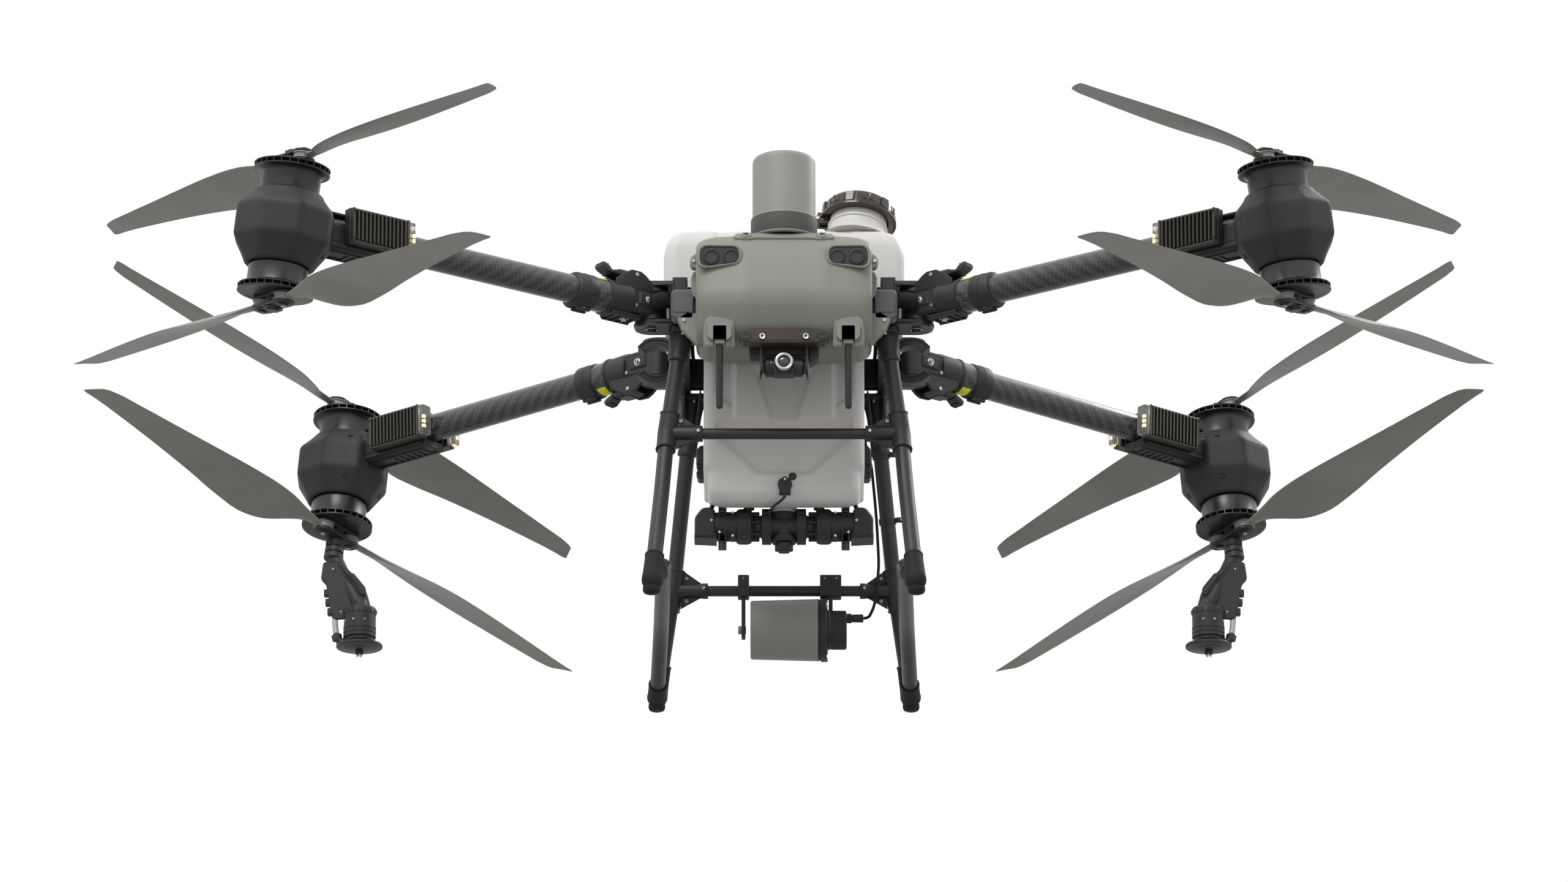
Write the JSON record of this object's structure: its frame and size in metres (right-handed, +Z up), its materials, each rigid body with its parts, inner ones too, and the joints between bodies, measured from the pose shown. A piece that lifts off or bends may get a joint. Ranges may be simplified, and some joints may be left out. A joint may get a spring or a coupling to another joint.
{
  "type": "agricultural spraying drone",
  "caption": "Coaxial agricultural spraying multirotor with folding arms and blades, liquid tank, spray discs and skid landing gear.",
  "frame": {"origin": "middle of the footprint on the floor, below the middle of the bounding box", "axes": "+Z up, nose towards -Y, +X to the right of a viewer who faces the nose"},
  "size_m": [2.4998, 2.511, 0.8344],
  "materials": {
    "carbon": "satin",
    "black_frame": "satin",
    "black_plastic": "satin",
    "motor_metal": "satin",
    "pod_pad": "matte",
    "blade": "satin",
    "shell_grey": "satin",
    "lamp_glass": "clear",
    "radar_grey": "satin",
    "camera_metal": "satin",
    "tank_plastic": "satin",
    "cap_plastic": "satin",
    "battery_case": "matte",
    "cable_rubber": "matte",
    "cover_grey": "satin",
    "steel": "satin"
  },
  "bodies": {
    "airframe": {"centre_frame": "black_frame", "front_shell": "shell_grey", "headlights": "lamp_glass", "front_radar": "radar_grey", "left_landing_gear": "black_frame", "right_landing_gear": "black_frame", "cross_tubes": "carbon", "rear_radar": "radar_grey", "radar_cable": "cable_rubber", "arm_clamps": "black_plastic", "cable_boots": "cover_grey", "fasteners": "steel"},
    "front_left_arm": {"front_left_arm": "carbon", "front_left_pod": "pod_pad"},
    "front_left_lock": {"front_left_lock": "black_plastic"},
    "front_left_upper_rotor": {"front_left_upper_rotor": "motor_metal"},
    "front_left_upper_blade_a": {"front_left_upper_blade_a": "blade"},
    "front_left_upper_blade_b": {"front_left_upper_blade_b": "blade"},
    "front_left_lower_rotor": {"front_left_lower_rotor": "motor_metal"},
    "front_left_lower_blade_a": {"front_left_lower_blade_a": "blade"},
    "front_left_lower_blade_b": {"front_left_lower_blade_b": "blade"},
    "front_right_arm": {"front_right_arm": "carbon", "front_right_pod": "pod_pad"},
    "front_right_lock": {"front_right_lock": "black_plastic"},
    "front_right_upper_rotor": {"front_right_upper_rotor": "motor_metal"},
    "front_right_upper_blade_a": {"front_right_upper_blade_a": "blade"},
    "front_right_upper_blade_b": {"front_right_upper_blade_b": "blade"},
    "front_right_lower_rotor": {"front_right_lower_rotor": "motor_metal"},
    "front_right_lower_blade_a": {"front_right_lower_blade_a": "blade"},
    "front_right_lower_blade_b": {"front_right_lower_blade_b": "blade"},
    "rear_left_arm": {"rear_left_arm": "carbon", "rear_left_pod": "pod_pad", "left_spray_mount": "black_plastic"},
    "rear_left_lock": {"rear_left_lock": "black_plastic"},
    "rear_left_upper_rotor": {"rear_left_upper_rotor": "motor_metal"},
    "rear_left_upper_blade_a": {"rear_left_upper_blade_a": "blade"},
    "rear_left_upper_blade_b": {"rear_left_upper_blade_b": "blade"},
    "rear_left_lower_rotor": {"rear_left_lower_rotor": "motor_metal"},
    "rear_left_lower_blade_a": {"rear_left_lower_blade_a": "blade"},
    "rear_left_lower_blade_b": {"rear_left_lower_blade_b": "blade"},
    "rear_right_arm": {"rear_right_arm": "carbon", "rear_right_pod": "pod_pad", "right_spray_mount": "black_plastic"},
    "rear_right_lock": {"rear_right_lock": "black_plastic"},
    "rear_right_upper_rotor": {"rear_right_upper_rotor": "motor_metal"},
    "rear_right_upper_blade_a": {"rear_right_upper_blade_a": "blade"},
    "rear_right_upper_blade_b": {"rear_right_upper_blade_b": "blade"},
    "rear_right_lower_rotor": {"rear_right_lower_rotor": "motor_metal"},
    "rear_right_lower_blade_a": {"rear_right_lower_blade_a": "blade"},
    "rear_right_lower_blade_b": {"rear_right_lower_blade_b": "blade"},
    "left_spray_disc": {"left_spray_disc": "black_plastic"},
    "left_antenna": {"left_antenna": "black_plastic"},
    "right_spray_disc": {"right_spray_disc": "black_plastic"},
    "right_antenna": {"right_antenna": "black_plastic"},
    "camera_head": {"camera_head": "camera_metal"},
    "tank": {"tank": "tank_plastic", "pump_unit": "black_plastic"},
    "tank_cap": {"tank_cap": "cap_plastic"},
    "drain_knob": {"drain_knob": "black_plastic"},
    "battery": {"battery": "battery_case"}
  },
  "joints": [
    {"name": "front_left_arm_fold", "type": "hinge", "parent": "airframe", "child": "front_left_arm", "pos_m": [-0.231, -0.193, 0.562], "axis": [0, 0, 1], "range_deg": [0, 48]},
    {"name": "front_left_lock_lever", "type": "hinge", "parent": "front_left_arm", "child": "front_left_lock", "pos_m": [-0.27077, -0.2233, 0.606], "axis": [-0.606, 0.7955, 0], "range_deg": [0, 75]},
    {"name": "front_left_upper_rotor_spin", "type": "hinge", "parent": "front_left_arm", "child": "front_left_upper_rotor", "pos_m": [-0.83078, -0.66661, 0.65203], "axis": [0.117, -0.0585, 0.9914], "continuous": true},
    {"name": "front_left_upper_blade_a_fold", "type": "hinge", "parent": "front_left_upper_rotor", "child": "front_left_upper_blade_a", "pos_m": [-0.8488, -0.63721, 0.66749], "axis": [0.117, -0.0585, 0.9914], "range_deg": [-80, 0]},
    {"name": "front_left_upper_blade_b_fold", "type": "hinge", "parent": "front_left_upper_rotor", "child": "front_left_upper_blade_b", "pos_m": [-0.81007, -0.69735, 0.65937], "axis": [0.117, -0.0585, 0.9914], "range_deg": [0, 80]},
    {"name": "front_left_lower_rotor_spin", "type": "hinge", "parent": "front_left_arm", "child": "front_left_lower_rotor", "pos_m": [-0.85722, -0.65339, 0.42797], "axis": [0.117, -0.0585, 0.9914], "continuous": true},
    {"name": "front_left_lower_blade_a_fold", "type": "hinge", "parent": "front_left_lower_rotor", "child": "front_left_lower_blade_a", "pos_m": [-0.87793, -0.62265, 0.42063], "axis": [0.117, -0.0585, 0.9914], "range_deg": [-80, 0]},
    {"name": "front_left_lower_blade_b_fold", "type": "hinge", "parent": "front_left_lower_rotor", "child": "front_left_lower_blade_b", "pos_m": [-0.8392, -0.68279, 0.41251], "axis": [0.117, -0.0585, 0.9914], "range_deg": [0, 80]},
    {"name": "front_right_arm_fold", "type": "hinge", "parent": "airframe", "child": "front_right_arm", "pos_m": [0.231, -0.193, 0.562], "axis": [0, 0, 1], "range_deg": [-48, 0]},
    {"name": "front_right_lock_lever", "type": "hinge", "parent": "front_right_arm", "child": "front_right_lock", "pos_m": [0.27077, -0.2233, 0.606], "axis": [-0.606, -0.7955, 0], "range_deg": [0, 75]},
    {"name": "front_right_upper_rotor_spin", "type": "hinge", "parent": "front_right_arm", "child": "front_right_upper_rotor", "pos_m": [0.83078, -0.66661, 0.65203], "axis": [-0.117, -0.0585, 0.9914], "continuous": true},
    {"name": "front_right_upper_blade_a_fold", "type": "hinge", "parent": "front_right_upper_rotor", "child": "front_right_upper_blade_a", "pos_m": [0.8488, -0.63721, 0.66749], "axis": [-0.117, -0.0585, 0.9914], "range_deg": [0, 80]},
    {"name": "front_right_upper_blade_b_fold", "type": "hinge", "parent": "front_right_upper_rotor", "child": "front_right_upper_blade_b", "pos_m": [0.81007, -0.69735, 0.65937], "axis": [-0.117, -0.0585, 0.9914], "range_deg": [-80, 0]},
    {"name": "front_right_lower_rotor_spin", "type": "hinge", "parent": "front_right_arm", "child": "front_right_lower_rotor", "pos_m": [0.85722, -0.65339, 0.42797], "axis": [-0.117, -0.0585, 0.9914], "continuous": true},
    {"name": "front_right_lower_blade_a_fold", "type": "hinge", "parent": "front_right_lower_rotor", "child": "front_right_lower_blade_a", "pos_m": [0.87793, -0.62265, 0.42063], "axis": [-0.117, -0.0585, 0.9914], "range_deg": [0, 80]},
    {"name": "front_right_lower_blade_b_fold", "type": "hinge", "parent": "front_right_lower_rotor", "child": "front_right_lower_blade_b", "pos_m": [0.8392, -0.68279, 0.41251], "axis": [-0.117, -0.0585, 0.9914], "range_deg": [-80, 0]},
    {"name": "rear_left_arm_fold", "type": "hinge", "parent": "airframe", "child": "rear_left_arm", "pos_m": [-0.226, 0.242, 0.605], "axis": [0, 0, 1], "range_deg": [-48, 0]},
    {"name": "rear_left_lock_lever", "type": "hinge", "parent": "rear_left_arm", "child": "rear_left_lock", "pos_m": [-0.26592, 0.27211, 0.561], "axis": [-0.6022, -0.7984, 0], "range_deg": [0, 75]},
    {"name": "rear_left_upper_rotor_spin", "type": "hinge", "parent": "rear_left_arm", "child": "rear_left_upper_rotor", "pos_m": [-0.80775, 0.70317, 0.65153], "axis": [0.073, 0.1431, 0.987], "continuous": true},
    {"name": "rear_left_upper_blade_a_fold", "type": "hinge", "parent": "rear_left_upper_rotor", "child": "rear_left_upper_blade_a", "pos_m": [-0.78555, 0.73323, 0.65718], "axis": [0.073, 0.1431, 0.987], "range_deg": [-90, 0]},
    {"name": "rear_left_upper_blade_b_fold", "type": "hinge", "parent": "rear_left_upper_rotor", "child": "rear_left_upper_blade_b", "pos_m": [-0.82826, 0.6764, 0.66858], "axis": [0.073, 0.1431, 0.987], "range_deg": [0, 70]},
    {"name": "rear_left_lower_rotor_spin", "type": "hinge", "parent": "rear_left_arm", "child": "rear_left_lower_rotor", "pos_m": [-0.82425, 0.67083, 0.42847], "axis": [0.073, 0.1431, 0.987], "continuous": true},
    {"name": "rear_left_lower_blade_a_fold", "type": "hinge", "parent": "rear_left_lower_rotor", "child": "rear_left_lower_blade_a", "pos_m": [-0.80374, 0.6976, 0.41142], "axis": [0.073, 0.1431, 0.987], "range_deg": [-90, 0]},
    {"name": "rear_left_lower_blade_b_fold", "type": "hinge", "parent": "rear_left_lower_rotor", "child": "rear_left_lower_blade_b", "pos_m": [-0.84645, 0.64077, 0.42282], "axis": [0.073, 0.1431, 0.987], "range_deg": [0, 70]},
    {"name": "rear_right_arm_fold", "type": "hinge", "parent": "airframe", "child": "rear_right_arm", "pos_m": [0.226, 0.242, 0.605], "axis": [0, 0, 1], "range_deg": [0, 48]},
    {"name": "rear_right_lock_lever", "type": "hinge", "parent": "rear_right_arm", "child": "rear_right_lock", "pos_m": [0.26592, 0.27211, 0.561], "axis": [-0.6022, 0.7984, 0], "range_deg": [0, 75]},
    {"name": "rear_right_upper_rotor_spin", "type": "hinge", "parent": "rear_right_arm", "child": "rear_right_upper_rotor", "pos_m": [0.80775, 0.70317, 0.65153], "axis": [-0.073, 0.1431, 0.987], "continuous": true},
    {"name": "rear_right_upper_blade_a_fold", "type": "hinge", "parent": "rear_right_upper_rotor", "child": "rear_right_upper_blade_a", "pos_m": [0.78555, 0.73323, 0.65718], "axis": [-0.073, 0.1431, 0.987], "range_deg": [0, 90]},
    {"name": "rear_right_upper_blade_b_fold", "type": "hinge", "parent": "rear_right_upper_rotor", "child": "rear_right_upper_blade_b", "pos_m": [0.82826, 0.6764, 0.66858], "axis": [-0.073, 0.1431, 0.987], "range_deg": [-70, 0]},
    {"name": "rear_right_lower_rotor_spin", "type": "hinge", "parent": "rear_right_arm", "child": "rear_right_lower_rotor", "pos_m": [0.82425, 0.67083, 0.42847], "axis": [-0.073, 0.1431, 0.987], "continuous": true},
    {"name": "rear_right_lower_blade_a_fold", "type": "hinge", "parent": "rear_right_lower_rotor", "child": "rear_right_lower_blade_a", "pos_m": [0.80374, 0.6976, 0.41142], "axis": [-0.073, 0.1431, 0.987], "range_deg": [0, 90]},
    {"name": "rear_right_lower_blade_b_fold", "type": "hinge", "parent": "rear_right_lower_rotor", "child": "rear_right_lower_blade_b", "pos_m": [0.84645, 0.64077, 0.42282], "axis": [-0.073, 0.1431, 0.987], "range_deg": [-70, 0]},
    {"name": "left_spray_disc_spin", "type": "hinge", "parent": "rear_left_arm", "child": "left_spray_disc", "pos_m": [-0.777, 0.64, 0.185], "axis": [0, 0, 1], "continuous": true},
    {"name": "left_antenna_fold", "type": "hinge", "parent": "airframe", "child": "left_antenna", "pos_m": [-0.111, -0.31, 0.462], "axis": [1, 0, 0], "range_deg": [-90, 0]},
    {"name": "right_spray_disc_spin", "type": "hinge", "parent": "rear_right_arm", "child": "right_spray_disc", "pos_m": [0.777, 0.64, 0.185], "axis": [0, 0, 1], "continuous": true},
    {"name": "right_antenna_fold", "type": "hinge", "parent": "airframe", "child": "right_antenna", "pos_m": [0.111, -0.31, 0.462], "axis": [1, 0, 0], "range_deg": [-90, 0]},
    {"name": "camera_tilt", "type": "hinge", "parent": "airframe", "child": "camera_head", "pos_m": [0, -0.292, 0.42], "axis": [1, 0, 0], "range_deg": [-10, 50]},
    {"name": "tank_lift", "type": "slide", "parent": "airframe", "child": "tank", "axis": [0, 0, 1], "range_m": [0, 0.35]},
    {"name": "tank_cap_hinge", "type": "hinge", "parent": "tank", "child": "tank_cap", "pos_m": [0.05978, 0.00145, 0.79007], "axis": [0.0211, -0.9703, 0.241], "range_deg": [0, 110]},
    {"name": "drain_knob_turn", "type": "hinge", "parent": "tank", "child": "drain_knob", "pos_m": [0, 0, 0.19], "axis": [0, 0, 1], "range_deg": [0, 270]},
    {"name": "battery_slide", "type": "slide", "parent": "airframe", "child": "battery", "axis": [0, 1, 0], "range_m": [0, 0.26]}
  ]
}
